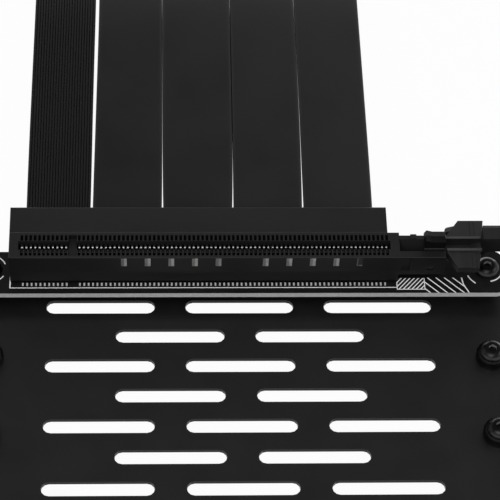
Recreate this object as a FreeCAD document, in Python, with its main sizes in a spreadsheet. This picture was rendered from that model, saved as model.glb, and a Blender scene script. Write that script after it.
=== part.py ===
import FreeCAD, Part
import math
import os
import re
import Sketcher

# A vertical graphics-card mount: a vented steel base with a riser slot and a panel for the card.
# Millimetres. Z = 0 is the surface that the base stands on. Sub-parts are drawn about the vent
# field: x = 0 is its middle line, y = 0 its rearmost row of vents, and y grows towards the ribbons.

SIZES = {
    # where the vent field's datum lies in the part's own frame
    "field_x": 21.75,
    "field_y": 21.325,
    # base plate, a folded sheet
    "sheet": 1.0,
    "plate_left": 96.3,
    "plate_right": 66.0,
    "plate_front": 60.0,
    "plate_rear": 13.0,
    "flange_height": 14.0,
    "bend_outside": 1.6,
    "bend_inside": 0.6,
    "end_relief": 4.0,
    "plate_corner": 3.0,
    "vent_length": 25.0,
    "vent_width": 3.5,
    "vent_pitch": 32.0,
    "vent_row_pitch": 7.95,
    "tongue_slot_length": 11.0,
    "tongue_slot_width": 3.0,
    "tongue_slot_inset": 3.2,
    # formed bosses that take the board screws
    "boss_column": 57.25,
    "boss_row": 6.2,
    "slot_pitch": 20.32,
    "boss_foot_radius": 3.5,
    "boss_top_radius": 2.9,
    "boss_height": 2.6,
    "thread_radius": 1.5,
    # screws with a button head and a hexagon socket
    "shank_radius": 1.45,
    "head_radius": 2.85,
    "head_top_radius": 1.75,
    "head_height": 1.65,
    "spare_screw_length": 5.0,
    "board_screw_length": 9.0,
    "panel_screw_length": 4.0,
    "screw_clearance": 0.2,
    # panel for the card's bracket
    "panel_sheet": 1.2,
    "panel_height": 125.0,
    "panel_flange": 12.0,
    "panel_screw_spacing": 24.0,
    "window_width": 14.2,
    "window_height": 88.0,
    "window_bottom": 29.0,
    "window_offset": 3.5,
    "card_screw_radius": 1.6,
    "card_screw_offset": 4.0,
    "case_screw_radius": 1.8,
    "case_screw_low": 32.0,
    # riser board on its spacers
    "spacer_height": 2.4,
    "spacer_flats": 5.2,
    "board_thickness": 1.6,
    "board_half_length": 61.0,
    "board_front": 0.6,
    "board_rear": 10.95,
    "board_corner": 2.0,
    "tongue_side": 0.5,
    # card-edge slot
    "slot_line": 6.37,
    "slot_depth": 7.0,
    "slot_height": 9.2,
    "slot_margin": 2.9,
    "first_contact": 49.63,
    "contact_pitch": 1.0,
    "gap_width": 1.8,
    "gap_margin": 0.8,
    "key_width": 1.9,
    "bridge_width": 0.4,
    "bridge_depth": 1.2,
    "window_slit": 0.6,
    "window_reach": 1.5,
    "tail_room": 0.5,
    "lead_in_width": 0.3,
    "lead_in_depth": 1.1,
    "key_drop": 1.5,
    "skirt_depth": 0.4,
    "skirt_height": 3.8,
    "ground_tab_width": 1.3,
    "ground_tab_height": 3.0,
    "ground_tab_depth": 0.3,
    "ground_tab_drop": 0.3,
    "ground_tab_first": 26.49,
    "ground_tab_pitch": 5.36,
    # spring contacts
    "contact_width": 0.45,
    "contact_sheet": 0.25,
    "contact_tail": 4.97,
    "contact_root": 2.2,
    "contact_bump": 0.6,
    "contact_bump_height": 7.0,
    # forked tail that carries the latch
    "fork_length": 10.4,
    "fork_height": 6.8,
    "fork_floor": 1.0,
    "fork_half_gap": 1.7,
    "fork_far_wall": 0.95,
    "rim_lug_along": 2.5,
    "rim_lug_length": 1.4,
    "rim_lug_height": 0.5,
    "cheek_recess_inset": 0.6,
    "cheek_recess_width": 1.8,
    "cheek_recess_height": 4.8,
    "cheek_recess_depth": 0.6,
    "pivot_along": 7.2,
    "pivot_drop": 4.2,
    "pivot_radius": 0.85,
    "pivot_clearance": 0.06,
    # latch lever
    "latch_side_gap": 0.2,
    "latch_hub_radius": 1.35,
    "latch_hook_rise": 3.2,
    "latch_hook_tip": 3.7,
    "latch_hook_drop": 0.6,
    "latch_arm_slit": 0.45,
    "latch_head_gap": 0.25,
    "latch_head_length": 7.95,
    "latch_head_half_width": 6.5,
    "latch_head_bevel": 2.6,
    "latch_head_skew": 0.42,
    "latch_head_thickness": 2.0,
    "latch_head_rise": 0.4,
    "latch_groove_half": 1.3,
    "latch_groove_depth": 2.4,
    "latch_lip_width": 0.9,
    "latch_lip_height": 0.25,
    "latch_keel_depth": 3.6,
    "latch_lug_reach": 0.1,
    "latch_lug_start": 3.6,
    "latch_lug_end": 5.0,
    "latch_tab_root": 2.6,
    "latch_tab_length": 7.0,
    "latch_tab_half_width": 2.17,
    "latch_tab_rise": 4.6,
    "latch_tab_thickness": 4.2,
    # ribbon cover behind the slot
    "cover_depth": 7.48,
    "cover_short": 2.6,
    "cover_wall": 1.2,
    "cover_chamfer": 0.5,
    "ribbon_rise": 4.4,
    "ribbon_thickness": 1.4,
    # plug at the far end of the ribbons
    "plug_near": 173.0,
    "plug_cover_depth": 12.0,
    "plug_cover_height": 8.0,
    "plug_cover_side": 1.0,
    "plug_cover_lip": 2.0,
    "plug_corner": 1.5,
    "plug_fit": 0.05,
    "finger_reach": 8.6,
    "finger_chamfer": 0.5,
    "finger_side": 0.75,
}

# Contacts on the short and the long side of the key, and the key's step in contact pitches.
SHORT_SIDE = 11
LONG_SIDE = 71
KEY_STEP = 3
VENT_ROWS_OF_THREE = 4
VENT_ROWS_OF_TWO = 3
BOSS_ROWS = 3
VENT_END_SIDES = 6
BOSS_SIDES = 16
SCREW_SIDES = 12
BORE_SIDES = 8
WINDOWS = 3
CASE_SCREWS = 4
GROUND_TABS = (0, 1, 2, 3, 4, 6, 7, 8, 9, 10)

# Left edge and width of each ribbon, seen from the plate.
RIBBONS = ((-49.1, 14.68), (-33.9, 15.99), (-17.53, 15.9), (-1.3, 15.94), (15.04, 16.01))
# The ribbons' shared route as (y, z): straight back, down to the ground and along it to the plug.
ROUTE = (
    (17.35, 25.0),
    (89.0, 24.7),
    (103.0, 18.6),
    (113.5, 6.9),
    (126.0, 1.1),
    (146.0, 0.76),
    (159.0, 1.5),
    (166.5, 4.0),
    (173.0, 4.0),
)

SLOT_FRONT = "(slot_line - slot_depth / 2)"
SLOT_REAR = "(slot_line + slot_depth / 2)"
BOARD_BOTTOM = "(flange_height + boss_height + spacer_height)"
BOARD_TOP = "(flange_height + boss_height + spacer_height + board_thickness)"
SLOT_TOP = f"({BOARD_TOP} + slot_height)"
LAST_CONTACT = f"({SHORT_SIDE + LONG_SIDE + KEY_STEP - 2} * contact_pitch - first_contact)"
SLOT_LEFT = "(-first_contact - slot_margin)"
SLOT_RIGHT = f"({LAST_CONTACT} + slot_margin)"
KEY_X = f"({SHORT_SIDE + KEY_STEP / 2 - 1} * contact_pitch - first_contact)"
GAP_LEFT = "(-first_contact - gap_margin)"
GAP_RIGHT = f"({LAST_CONTACT} + gap_margin)"
CHAMBER_HALF = "(gap_width / 2 + bridge_width + window_reach)"
COVER_REAR = f"({SLOT_REAR} + cover_depth)"
COVER_RIGHT = f"({SLOT_RIGHT} - cover_short)"
PIVOT_X = f"({SLOT_RIGHT} + pivot_along)"
PIVOT_Z = f"({SLOT_TOP} - pivot_drop)"
FORK_END = f"({SLOT_RIGHT} + fork_length)"
PANEL_FACE = "(-plate_left - panel_sheet)"
WINDOW_ONE = "(slot_line - window_offset)"
END_HOLE_Z = "((flange_height - sheet) / 2)"
PANEL_MIDDLE = "((plate_rear - plate_front) / 2)"
PLUG_MIDDLE = "(plug_cover_height / 2)"
PLUG_FRONT = "(plug_near + plug_cover_depth)"

doc = FreeCAD.newDocument("graphics_card_mount")
sheet = doc.addObject("Spreadsheet::Sheet", "Sizes")
nodes = []


def fill_sheet():
    for row, (alias, number) in enumerate(SIZES.items(), 1):
        sheet.set(f"A{row}", alias)
        sheet.set(f"B{row}", str(number))
        sheet.setAlias(f"B{row}", alias)
    doc.recompute()


def size(alias):
    return float(sheet.get(alias))


def linked(text):
    """An expression in size names, as the document's expressions write it."""
    return re.sub(r"[a-z]\w*", lambda word: f"Sizes.{word.group()}", text)


def bind(thing, **texts):
    for name, text in texts.items():
        thing.setExpression(name, linked(text))
    return thing


def place(thing, x="0", y="0", z="0", holder="Placement"):
    for axis, text in zip("xyz", (x, y, z)):
        thing.setExpression(f".{holder}.Base.{axis}", linked(text))
    return thing


def node(thing, label):
    """Files a finished sub-part under its name and seats it in the part's frame."""
    thing.Label = label
    place(thing, "field_x", "field_y")
    nodes.append(thing)
    return thing


def body(name):
    return doc.addObject("PartDesign::Body", f"{name}_body")


def sketch_on(owner, name, plane, lift="0"):
    made = owner.newObject("Sketcher::SketchObject", name)
    support = next(f for f in owner.Origin.OriginFeatures if f.Role == f"{plane}_Plane")
    made.AttachmentSupport = [(support, "")]
    made.MapMode = "FlatFace"
    place(made, z=lift, holder="AttachmentOffset")
    return made


def fix_point(sketch, geometry, corner, x, y):
    for kind, text in (("DistanceX", x), ("DistanceY", y)):
        row = sketch.addConstraint(Sketcher.Constraint(kind, -1, 1, geometry, corner, 1.0))
        sketch.setExpression(f"Constraints[{row}]", linked(text))


def draw_polygon(sketch, corners):
    """A closed outline of straight lines through corners given as expressions."""
    count = len(corners)
    first = sketch.GeometryCount
    turn = 2 * math.pi / count
    seeds = [FreeCAD.Vector(math.cos(turn * i), math.sin(turn * i), 0) for i in range(count)]
    for i in range(count):
        sketch.addGeometry(Part.LineSegment(seeds[i], seeds[(i + 1) % count]))
    for i in range(count):
        sketch.addConstraint(Sketcher.Constraint("Coincident", first + i, 2, first + (i + 1) % count, 1))
    for i, (x, y) in enumerate(corners):
        fix_point(sketch, first + i, 1, x, y)


def draw_rectangle(sketch, x0, y0, x1, y1):
    draw_polygon(sketch, ((x0, y0), (x1, y0), (x1, y1), (x0, y1)))


def draw_circle(sketch, x, y, radius):
    index = sketch.addGeometry(Part.Circle(FreeCAD.Vector(0, 0, 0), FreeCAD.Vector(0, 0, 1), 1.0))
    row = sketch.addConstraint(Sketcher.Constraint("Radius", index, 1.0))
    sketch.setExpression(f"Constraints[{row}]", linked(radius))
    fix_point(sketch, index, 3, x, y)


def round_points(x, y, radius, sides, first=0, steps=None):
    """Corners of a regular outline about a centre, or of the steps of it that an end needs."""
    corners = []
    for i in range(steps or sides):
        turn = math.radians(first + 360 * i / sides)
        corners.append((f"{x} + {math.cos(turn):.6f} * {radius}", f"{y} + {math.sin(turn):.6f} * {radius}"))
    return corners


def bored(radius):
    """The corner radius of a faceted bore that a round shank of this radius just passes."""
    return f"({1 / math.cos(math.pi / BORE_SIDES):.6f} * {radius})"


def feature(owner, kind, name, profile, reverse=False, **texts):
    made = owner.newObject(f"PartDesign::{kind}", name)
    made.Profile = profile
    made.Reversed = reverse
    return bind(made, **texts)


def pad(owner, name, profile, length, reverse=False):
    return feature(owner, "Pad", name, profile, reverse, Length=length)


def pocket(owner, name, profile, depth, reverse=False):
    """A cut of a set depth, which has to take material away."""
    doc.recompute()
    before = owner.Shape.Volume
    made = feature(owner, "Pocket", name, profile, reverse, Length=depth)
    doc.recompute()
    if not owner.Shape.Volume < before:
        raise RuntimeError(f"{owner.Label}: {name} cuts nothing")
    return made


def pattern(owner, name, original, *ways):
    """Repeats a feature along one or two sketch axes, each given as (axis, reversed, step, count)."""
    made = owner.newObject("PartDesign::LinearPattern", name)
    made.Originals = [original]
    for number, (axis, backwards, step, count) in zip(("", "2"), ways):
        setattr(made, f"Direction{number}", (original.Profile[0], [axis]))
        setattr(made, f"Reversed{number}", backwards)
        setattr(made, f"Mode{number}", "Spacing")
        setattr(made, f"Occurrences{number}", count)
        setattr(made, f"Spacings{number}", [-1.0] * (count - 1))
        made.setExpression(f"Offset{number}", linked(step))
    owner.Tip = made
    return made


def edges_where(owner, test):
    """Names of the tip's edges whose two ends both pass the test."""
    doc.recompute()
    found = []
    for number, edge in enumerate(owner.Shape.Edges, 1):
        ends = [vertex.Point for vertex in edge.Vertexes]
        if len(ends) == 2 and test(*ends):
            found.append(f"Edge{number}")
    return found


def dress(owner, kind, name, test, **texts):
    names = edges_where(owner, test)
    base = owner.Tip
    made = owner.newObject(f"PartDesign::{kind}", name)
    made.Base = (base, names)
    return bind(made, **texts)


def near(*pairs):
    return all(abs(a - b) < 1e-4 for a, b in pairs)


def upright(a, b):
    return near((a.x, b.x), (a.y, b.y))


def outer_box(owner):
    doc.recompute()
    return owner.Shape.BoundBox


def make_base_plate():
    made = body("base_plate")
    channel = sketch_on(made, "channel_section", "YZ", "-plate_left")
    draw_polygon(
        channel,
        (
            ("-plate_front", "0"),
            ("-plate_front + sheet", "0"),
            ("-plate_front + sheet", "flange_height - sheet"),
            ("plate_rear - sheet", "flange_height - sheet"),
            ("plate_rear - sheet", "0"),
            ("plate_rear", "0"),
            ("plate_rear", "flange_height"),
            ("-plate_front", "flange_height"),
        ),
    )
    pad(made, "channel", channel, "plate_left + plate_right")
    end = sketch_on(made, "end_flange_outline", "YZ", "-plate_left")
    draw_rectangle(
        end,
        "-plate_front + end_relief",
        "0",
        "plate_rear - end_relief",
        "flange_height - sheet / 2",
    )
    pad(made, "end_flange", end, "sheet")
    top, left, wall = size("flange_height"), -size("plate_left"), size("sheet")
    front, rear = -size("plate_front"), size("plate_rear")

    def outer_bend(a, b):
        along = near((a.z, top), (b.z, top))
        return along and (near((a.y, b.y)) and (near((a.y, front)) or near((a.y, rear))))

    def inner_bend(a, b):
        along = near((a.z, top - wall), (b.z, top - wall), (a.y, b.y))
        return along and (near((a.y, front + wall)) or near((a.y, rear - wall)))

    dress(made, "Fillet", "outer_bends", outer_bend, Radius="bend_outside")
    dress(made, "Fillet", "inner_bends", inner_bend, Radius="bend_inside")

    def flange_corner(a, b):
        low = near((a.z, 0), (b.z, 0), (a.x, b.x)) and (near((a.x, left)) or near((a.x, size("plate_right"))))
        return low and abs(abs(a.y - b.y) - wall) < 1e-4

    dress(made, "Fillet", "flange_corners", flange_corner, Radius="plate_corner")
    cut_vents(made)
    cut_tongue_slots(made)
    raise_bosses(made)
    ends = sketch_on(made, "end_hole", "YZ", "-plate_left")
    first = f"{PANEL_MIDDLE} - panel_screw_spacing"
    draw_polygon(ends, round_points(first, END_HOLE_Z, bored("thread_radius"), BORE_SIDES))
    hole = pocket(made, "end_holes", ends, "sheet", reverse=True)
    pattern(made, "end_hole_row", hole, ("H_Axis", False, "panel_screw_spacing", 3))
    return node(made, "base_plate")


def cut_vents(plate):
    """Long vents with round ends, in rows of three and of two that lie brickwise."""
    radius = "vent_width / 2"
    reach = "(vent_length - vent_width) / 2"
    sides, steps = 2 * VENT_END_SIDES, VENT_END_SIDES + 1
    rows = (
        ("three", "-vent_pitch", "0", 3, VENT_ROWS_OF_THREE),
        ("two", "-vent_pitch / 2", "-vent_row_pitch", 2, VENT_ROWS_OF_TWO),
    )
    for name, x, y, across, count in rows:
        outline = sketch_on(plate, f"vent_of_{name}", "XY", "flange_height")
        right = round_points(f"{x} + {reach}", y, radius, sides, -90, steps)
        left = round_points(f"{x} - {reach}", y, radius, sides, 90, steps)
        draw_polygon(outline, right + left)
        cut = pocket(plate, f"vents_of_{name}", outline, "sheet")
        along = ("H_Axis", False, "vent_pitch", across)
        back = ("V_Axis", True, "2 * vent_row_pitch", count)
        pattern(plate, f"rows_of_{name}", cut, along, back)


def cut_tongue_slots(plate):
    """Slots for the lower tongues of the card's bracket, one under each window."""
    outline = sketch_on(plate, "tongue_slot", "XY", "flange_height")
    x = "(-plate_left + tongue_slot_inset)"
    draw_rectangle(
        outline,
        x,
        f"{WINDOW_ONE} - tongue_slot_length / 2",
        f"{x} + tongue_slot_width",
        f"{WINDOW_ONE} + tongue_slot_length / 2",
    )
    cut = pocket(plate, "tongue_slots", outline, "sheet")
    pattern(plate, "tongue_slot_row", cut, ("V_Axis", True, "slot_pitch", WINDOWS))


def raise_bosses(plate):
    """Bosses with a chamfered top, pressed up out of the sheet in two columns a slot pitch apart."""
    across = "2 * boss_column"
    foot = sketch_on(plate, "boss_foot", "XY", "flange_height")
    draw_polygon(foot, round_points("-boss_column", "boss_row", "boss_foot_radius", BOSS_SIDES))
    boss = pad(plate, "boss", foot, "boss_height")
    ways = (("H_Axis", False, across, 2), ("V_Axis", True, "slot_pitch", BOSS_ROWS))
    pattern(plate, "boss_grid", boss, *ways)
    top = size("flange_height") + size("boss_height")
    dress(
        plate,
        "Chamfer",
        "boss_edges",
        lambda a, b: near((a.z, top), (b.z, top)),
        Size="boss_foot_radius - boss_top_radius",
    )
    bore = sketch_on(plate, "boss_bore", "XY", "flange_height + boss_height")
    draw_polygon(bore, round_points("-boss_column", "boss_row", bored("thread_radius"), BORE_SIDES))
    cut = pocket(plate, "boss_thread", bore, "boss_height + sheet")
    pattern(plate, "boss_thread_grid", cut, *ways)


def make_io_panel():
    made = body("io_panel")
    wall = sketch_on(made, "panel_outline", "YZ", PANEL_FACE)
    draw_rectangle(wall, "-plate_front", "0", "plate_rear", "panel_height")
    pad(made, "panel_wall", wall, "panel_sheet")
    shelf = sketch_on(made, "shelf_outline", "XY", "panel_height - panel_sheet")
    outer, middle = f"{PANEL_FACE} - panel_flange", f"{PANEL_FACE} + panel_sheet / 2"
    draw_rectangle(shelf, outer, "-plate_front", middle, "plate_rear")
    pad(made, "card_shelf", shelf, "panel_sheet")
    side = sketch_on(made, "case_flange_outline", "XZ", "plate_front - panel_sheet")
    draw_rectangle(
        side,
        outer,
        "window_bottom - panel_flange",
        middle,
        "panel_height - panel_flange / 2",
    )
    pad(made, "case_flange", side, "panel_sheet")
    inner, top = -size("plate_left"), size("panel_height")

    def shelf_bend(a, b):
        return near((a.x, inner), (b.x, inner), (a.z, top), (b.z, top))

    dress(made, "Fillet", "shelf_bend", shelf_bend, Radius="bend_outside")
    windows = sketch_on(made, "window_outline", "YZ", PANEL_FACE)
    draw_rectangle(
        windows,
        f"{WINDOW_ONE} - window_width / 2",
        "window_bottom",
        f"{WINDOW_ONE} + window_width / 2",
        "window_bottom + window_height",
    )
    cut = pocket(made, "windows", windows, "panel_sheet", reverse=True)
    pattern(made, "window_row", cut, ("H_Axis", True, "slot_pitch", WINDOWS))
    drill_panel(made)
    return node(made, "io_panel")


def drill_panel(panel):
    card = sketch_on(panel, "card_screw_hole", "XY", "panel_height")
    flange_middle = f"{PANEL_FACE} - panel_flange / 2"
    draw_circle(card, flange_middle, f"{WINDOW_ONE} + card_screw_offset", "card_screw_radius")
    cut = pocket(panel, "card_screw_holes", card, "panel_sheet")
    pattern(panel, "card_screw_row", cut, ("V_Axis", True, "slot_pitch", WINDOWS))
    case = sketch_on(panel, "case_screw_hole", "XZ", "plate_front")
    draw_circle(case, flange_middle, "case_screw_low", "case_screw_radius")
    cut = pocket(panel, "case_screw_holes", case, "panel_sheet")
    pattern(panel, "case_screw_row", cut, ("V_Axis", False, "slot_pitch", CASE_SCREWS))
    base = sketch_on(panel, "base_screw_hole", "YZ", PANEL_FACE)
    first = f"{PANEL_MIDDLE} - panel_screw_spacing"
    draw_polygon(base, round_points(first, END_HOLE_Z, bored("(shank_radius + screw_clearance)"), BORE_SIDES))
    cut = pocket(panel, "base_screw_holes", base, "panel_sheet", reverse=True)
    pattern(panel, "base_screw_row", cut, ("H_Axis", False, "panel_screw_spacing", 3))


def make_screw(name, length):
    """A button-head screw standing on its bearing face at z = 0."""
    made = body(name)
    rim = sketch_on(made, f"{name}_rim", "XY")
    draw_polygon(rim, round_points("0", "0", "head_radius", SCREW_SIDES))
    pad(made, f"{name}_head", rim, "head_height")
    top = size("head_height")
    dress(
        made,
        "Chamfer",
        f"{name}_dome",
        lambda a, b: near((a.z, top), (b.z, top)),
        Size="head_radius - head_top_radius",
    )
    core = sketch_on(made, f"{name}_core", "XY")
    draw_polygon(core, round_points("0", "0", "shank_radius", BORE_SIDES))
    pad(made, f"{name}_shank", core, length, reverse=True)
    return made


def group(label, original, seats):
    """A set of copies of one piece, each moved to its seat, under one name."""
    doc.recompute()
    copies = []
    for seat in seats:
        copy = original.Shape.copy()
        copy.Placement = seat.multiply(copy.Placement)
        copies.append(copy)
    made = doc.addObject("Part::Feature", f"{label}_group")
    made.Shape = Part.makeCompound(copies)
    return node(made, label)


def moved(x, y, z, turn=None):
    return FreeCAD.Placement(FreeCAD.Vector(x, y, z), turn or FreeCAD.Rotation())


def make_fasteners():
    column, row, pitch = size("boss_column"), size("boss_row"), size("slot_pitch")
    boss_top = size("flange_height") + size("boss_height")
    board_top = boss_top + size("spacer_height") + size("board_thickness")
    spare = make_screw("spare_screw", "spare_screw_length")
    spots = [(x, row - pitch * i) for i in range(1, BOSS_ROWS) for x in (-column, column)]
    group("spare_screws", spare, [moved(x, y, boss_top) for x, y in spots])
    board = make_screw("board_screw", "board_screw_length")
    group("board_screws", board, [moved(x, row, board_top) for x in (-column, column)])
    panel = make_screw("panel_screw", "panel_screw_length")
    outward = FreeCAD.Rotation(FreeCAD.Vector(0, 1, 0), -90)
    face = -size("plate_left") - size("panel_sheet")
    middle = (size("plate_rear") - size("plate_front")) / 2
    height = (size("flange_height") - size("sheet")) / 2
    steps = [middle + size("panel_screw_spacing") * i for i in (-1, 0, 1)]
    group("panel_screws", panel, [moved(face, y, height, outward) for y in steps])


def make_spacers():
    made = body("spacer")
    ring = sketch_on(made, "spacer_ring", "XY")
    draw_polygon(ring, round_points("0", "0", f"spacer_flats / {math.sqrt(3):.6f}", 6))
    draw_polygon(ring, round_points("0", "0", bored("(shank_radius + screw_clearance)"), BORE_SIDES))
    pad(made, "spacer_sleeve", ring, "spacer_height")
    seat = size("flange_height") + size("boss_height")
    column, row = size("boss_column"), size("boss_row")
    group("board_spacers", made, [moved(x, row, seat) for x in (-column, column)])


def make_riser_board():
    made = body("riser_board")
    outline = sketch_on(made, "board_outline", "XY", BOARD_BOTTOM)
    left, right = f"{SLOT_LEFT} - tongue_side", f"{COVER_RIGHT} + tongue_side"
    draw_polygon(
        outline,
        (
            ("-board_half_length", "-board_front"),
            ("board_half_length", "-board_front"),
            ("board_half_length", "board_rear"),
            (right, "board_rear"),
            (right, COVER_REAR),
            (left, COVER_REAR),
            (left, "board_rear"),
            ("-board_half_length", "board_rear"),
        ),
    )
    pad(made, "board_blank", outline, "board_thickness")
    half = size("board_half_length")

    def corner(a, b):
        return upright(a, b) and near((abs(a.x), half))

    dress(made, "Fillet", "board_corners", corner, Radius="board_corner")
    holes = sketch_on(made, "board_hole", "XY", BOARD_TOP)
    radius = bored("(shank_radius + screw_clearance)")
    draw_polygon(holes, round_points("-boss_column", "boss_row", radius, BORE_SIDES))
    cut = pocket(made, "board_holes", holes, "board_thickness")
    pattern(made, "board_hole_pair", cut, ("H_Axis", False, "2 * boss_column", 2))
    return node(made, "riser_board")


def contact_columns():
    """The x of each contact: the short side, the step over the key, then the long side."""
    first, pitch = -size("first_contact"), size("contact_pitch")
    steps = list(range(SHORT_SIDE))
    steps += [SHORT_SIDE - 1 + KEY_STEP + i for i in range(LONG_SIDE)]
    return [first + pitch * step for step in steps]


def make_slot_housing():
    made = body("slot_housing")
    block = sketch_on(made, "slot_outline", "XY", BOARD_TOP)
    draw_rectangle(block, SLOT_LEFT, SLOT_FRONT, SLOT_RIGHT, SLOT_REAR)
    pad(made, "slot_block", block, "slot_height")
    add_skirt(made)
    add_fork(made)
    hollow = sketch_on(made, "chamber_outline", "XY", BOARD_TOP)
    gap = sketch_on(made, "gap_outline", "XY", SLOT_TOP)
    for left, right in ((GAP_LEFT, f"{KEY_X} - key_width / 2"), (f"{KEY_X} + key_width / 2", GAP_RIGHT)):
        draw_rectangle(hollow, left, f"slot_line - {CHAMBER_HALF}", right, f"slot_line + {CHAMBER_HALF}")
        draw_rectangle(gap, left, "slot_line - gap_width / 2", right, "slot_line + gap_width / 2")
    pocket(made, "contact_chamber", hollow, "slot_height - bridge_depth", reverse=True)
    pocket(made, "card_gap", gap, "bridge_depth")
    open_gap(made)
    under = sketch_on(made, "tail_room_outline", "XY", BOARD_TOP)
    draw_rectangle(under, GAP_LEFT, SLOT_FRONT, GAP_RIGHT, SLOT_REAR)
    pocket(made, "tail_room", under, "tail_room", reverse=True)
    cut_slits(made)
    cut_tab_seats(made)
    return node(made, "slot_housing")


def add_skirt(slot):
    """The foot of the front face, which leans out a little towards the board."""
    foot = f"{BOARD_TOP} + tail_room"
    lean = sketch_on(slot, "skirt_section", "YZ", SLOT_LEFT)
    corners = (
        (f"{SLOT_FRONT} - skirt_depth", foot),
        (f"{SLOT_FRONT} + skirt_depth", foot),
        (f"{SLOT_FRONT} + skirt_depth", f"{BOARD_TOP} + skirt_height"),
        (SLOT_FRONT, f"{BOARD_TOP} + skirt_height"),
    )
    draw_polygon(lean, corners)
    pad(slot, "skirt", lean, f"{SLOT_RIGHT} - {SLOT_LEFT}")


def open_gap(slot):
    """Sloped sides that lead the card's edge into the gap, and the drop of the key below them."""
    low = f"{SLOT_TOP} - lead_in_depth"
    sides = (
        ("slot_line - gap_width / 2 - lead_in_width", SLOT_TOP),
        ("slot_line - gap_width / 2", low),
        ("slot_line + gap_width / 2", low),
        ("slot_line + gap_width / 2 + lead_in_width", SLOT_TOP),
    )
    ends = (
        ("short", GAP_LEFT, f"{KEY_X} - key_width / 2"),
        ("long", f"{KEY_X} + key_width / 2", GAP_RIGHT),
    )
    for name, left, right in ends:
        slope = sketch_on(slot, f"lead_in_{name}_section", "YZ", left)
        draw_polygon(slope, sides)
        pocket(slot, f"lead_in_{name}", slope, f"{right} - ({left})", reverse=True)
    drop = sketch_on(slot, "key_drop_outline", "XY", SLOT_TOP)
    draw_rectangle(
        drop,
        f"{KEY_X} - key_width / 2",
        f"slot_line - {CHAMBER_HALF}",
        f"{KEY_X} + key_width / 2",
        f"slot_line + {CHAMBER_HALF}",
    )
    pocket(slot, "key_drop", drop, "key_drop")


def add_fork(slot):
    """The forked tail past the slot's end, with the latch's pivot holes through its cheeks."""
    bottom = f"{SLOT_TOP} - fork_height"
    fork = sketch_on(slot, "fork_outline", "XY", bottom)
    draw_rectangle(fork, SLOT_RIGHT, SLOT_FRONT, FORK_END, "slot_line + fork_half_gap + fork_far_wall")
    pad(slot, "fork", fork, "fork_height")
    groove = sketch_on(slot, "fork_groove", "XY", SLOT_TOP)
    draw_rectangle(groove, SLOT_RIGHT, "slot_line - fork_half_gap", FORK_END, "slot_line + fork_half_gap")
    pocket(slot, "fork_channel", groove, "fork_height - fork_floor")
    lug = sketch_on(slot, "rim_lug_outline", "XY", SLOT_TOP)
    far = ("slot_line + fork_half_gap", "slot_line + fork_half_gap + fork_far_wall")
    lug_left = f"({SLOT_RIGHT} + rim_lug_along)"
    draw_rectangle(lug, lug_left, far[0], f"{lug_left} + rim_lug_length", far[1])
    pad(slot, "rim_lug", lug, "rim_lug_height")
    pivot = sketch_on(slot, "pivot_hole", "XZ", f"-{SLOT_FRONT}")
    draw_circle(pivot, PIVOT_X, PIVOT_Z, "pivot_radius + pivot_clearance")
    pocket(slot, "pivot_holes", pivot, "slot_depth")
    recess = sketch_on(slot, "cheek_recess_outline", "XZ", f"-{SLOT_FRONT}")
    top = f"({SLOT_TOP} - cheek_recess_inset)"
    left = f"({SLOT_RIGHT} + cheek_recess_inset)"
    draw_rectangle(recess, left, f"{top} - cheek_recess_height", f"{left} + cheek_recess_width", top)
    pocket(slot, "cheek_recess", recess, "cheek_recess_depth")


def cut_slits(slot):
    """The slits over the contacts' tips, one pair of rows on each side of the key."""
    inner, outer = "(gap_width / 2 + bridge_width)", CHAMBER_HALF
    far_start = f"({SHORT_SIDE - 1 + KEY_STEP} * contact_pitch - first_contact)"
    for name, x, count in (("short", "-first_contact", SHORT_SIDE), ("long", far_start, LONG_SIDE)):
        outline = sketch_on(slot, f"slit_{name}", "XY", SLOT_TOP)
        for low, high in ((f"-{outer}", f"-{inner}"), (inner, outer)):
            left, right = f"{x} - window_slit / 2", f"{x} + window_slit / 2"
            draw_rectangle(outline, left, f"slot_line + {low}", right, f"slot_line + {high}")
        cut = pocket(slot, f"slits_{name}", outline, "bridge_depth")
        pattern(slot, f"slit_rows_{name}", cut, ("H_Axis", False, "contact_pitch", count))


def tab_corner(index):
    """Left edge and top of a ground tab on the slot's front face."""
    x = f"({index} * ground_tab_pitch - ground_tab_first - ground_tab_width / 2)"
    return x, f"({SLOT_TOP} - ground_tab_drop)"


def cut_tab_seats(slot):
    outline = sketch_on(slot, "tab_seats", "XZ", f"-{SLOT_FRONT}")
    for index in GROUND_TABS:
        x, top = tab_corner(index)
        draw_rectangle(outline, x, f"{top} - ground_tab_height", f"{x} + ground_tab_width", top)
    pocket(slot, "tab_seat_cut", outline, "ground_tab_depth")


def make_ground_tabs():
    tabs = []
    for index in GROUND_TABS:
        x, top = tab_corner(index)
        tab = doc.addObject("Part::Box", f"ground_tab_{index}")
        bind(tab, Length="ground_tab_width", Width="ground_tab_depth", Height="ground_tab_height")
        tabs.append(place(tab, x, SLOT_FRONT, f"{top} - ground_tab_height"))
    made = doc.addObject("Part::Compound", "ground_tab_row")
    made.Links = tabs
    return node(made, "slot_ground_tabs")


def make_contacts():
    """Two rows of spring contacts: a tapered tail on the board and a tapered leaf leaning into the gap."""
    bump = f"{BOARD_TOP} + contact_bump_height"
    for label, side in (("slot_contacts_front", "-"), ("slot_contacts_rear", "+")):
        made = body(label)
        outline = sketch_on(made, f"{label}_section", "YZ", "-contact_width / 2")
        corners = (
            ("contact_tail", BOARD_TOP),
            ("contact_root", BOARD_TOP),
            ("contact_bump", bump),
            ("(contact_root + 2 * contact_sheet)", f"{BOARD_TOP} + contact_sheet"),
        )
        draw_polygon(outline, [(f"slot_line {side} {y}", z) for y, z in corners])
        pad(made, f"{label}_blade", outline, "contact_width")
        group(label, made, [moved(x, 0, 0) for x in contact_columns()])


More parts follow.
